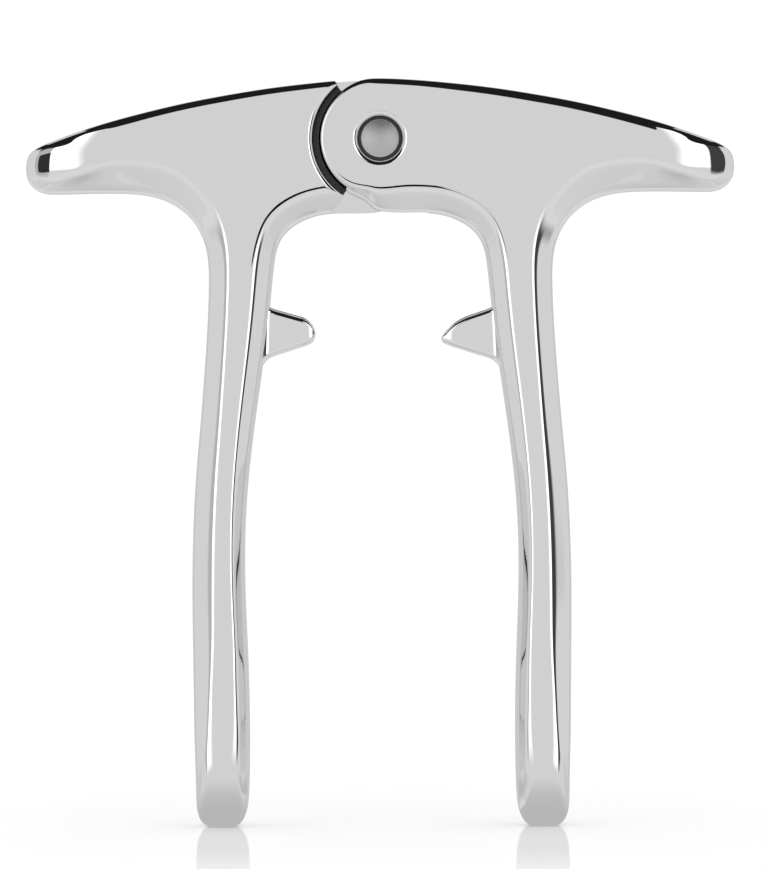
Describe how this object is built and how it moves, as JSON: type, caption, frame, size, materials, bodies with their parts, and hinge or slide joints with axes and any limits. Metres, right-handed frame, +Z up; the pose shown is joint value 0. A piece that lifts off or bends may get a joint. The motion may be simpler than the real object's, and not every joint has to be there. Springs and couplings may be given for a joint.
{
  "type": "nutcracker",
  "caption": "T-shaped hand nutcracker: polished cast arms lapped on a pivot pin, with flared horns above, long legs to squeeze and an inward tooth on each.",
  "frame": {"origin": "on the floor, midway between the two feet and midway through the depth", "axes": "+Z up from the feet to the knuckle, +X from the left arm to the right arm, +Y from the front, where the right arm's lobe shows, to the back"},
  "size_m": [0.1596, 0.018, 0.1684],
  "materials": {
    "polished_arm": "polished",
    "pin_steel": "satin",
    "washer_nylon": "matte"
  },
  "bodies": {
    "left": {"left_arm": "polished_arm", "pivot_pin": "pin_steel", "pin_cap": "pin_steel", "lap_washer": "washer_nylon"},
    "right": {"right_arm": "polished_arm"}
  },
  "joints": [
    {"name": "squeeze", "type": "hinge", "parent": "left", "child": "right", "pos_m": [0, 0, 0.1548], "axis": [0, 1, 0], "range_deg": [-60, 22]}
  ]
}
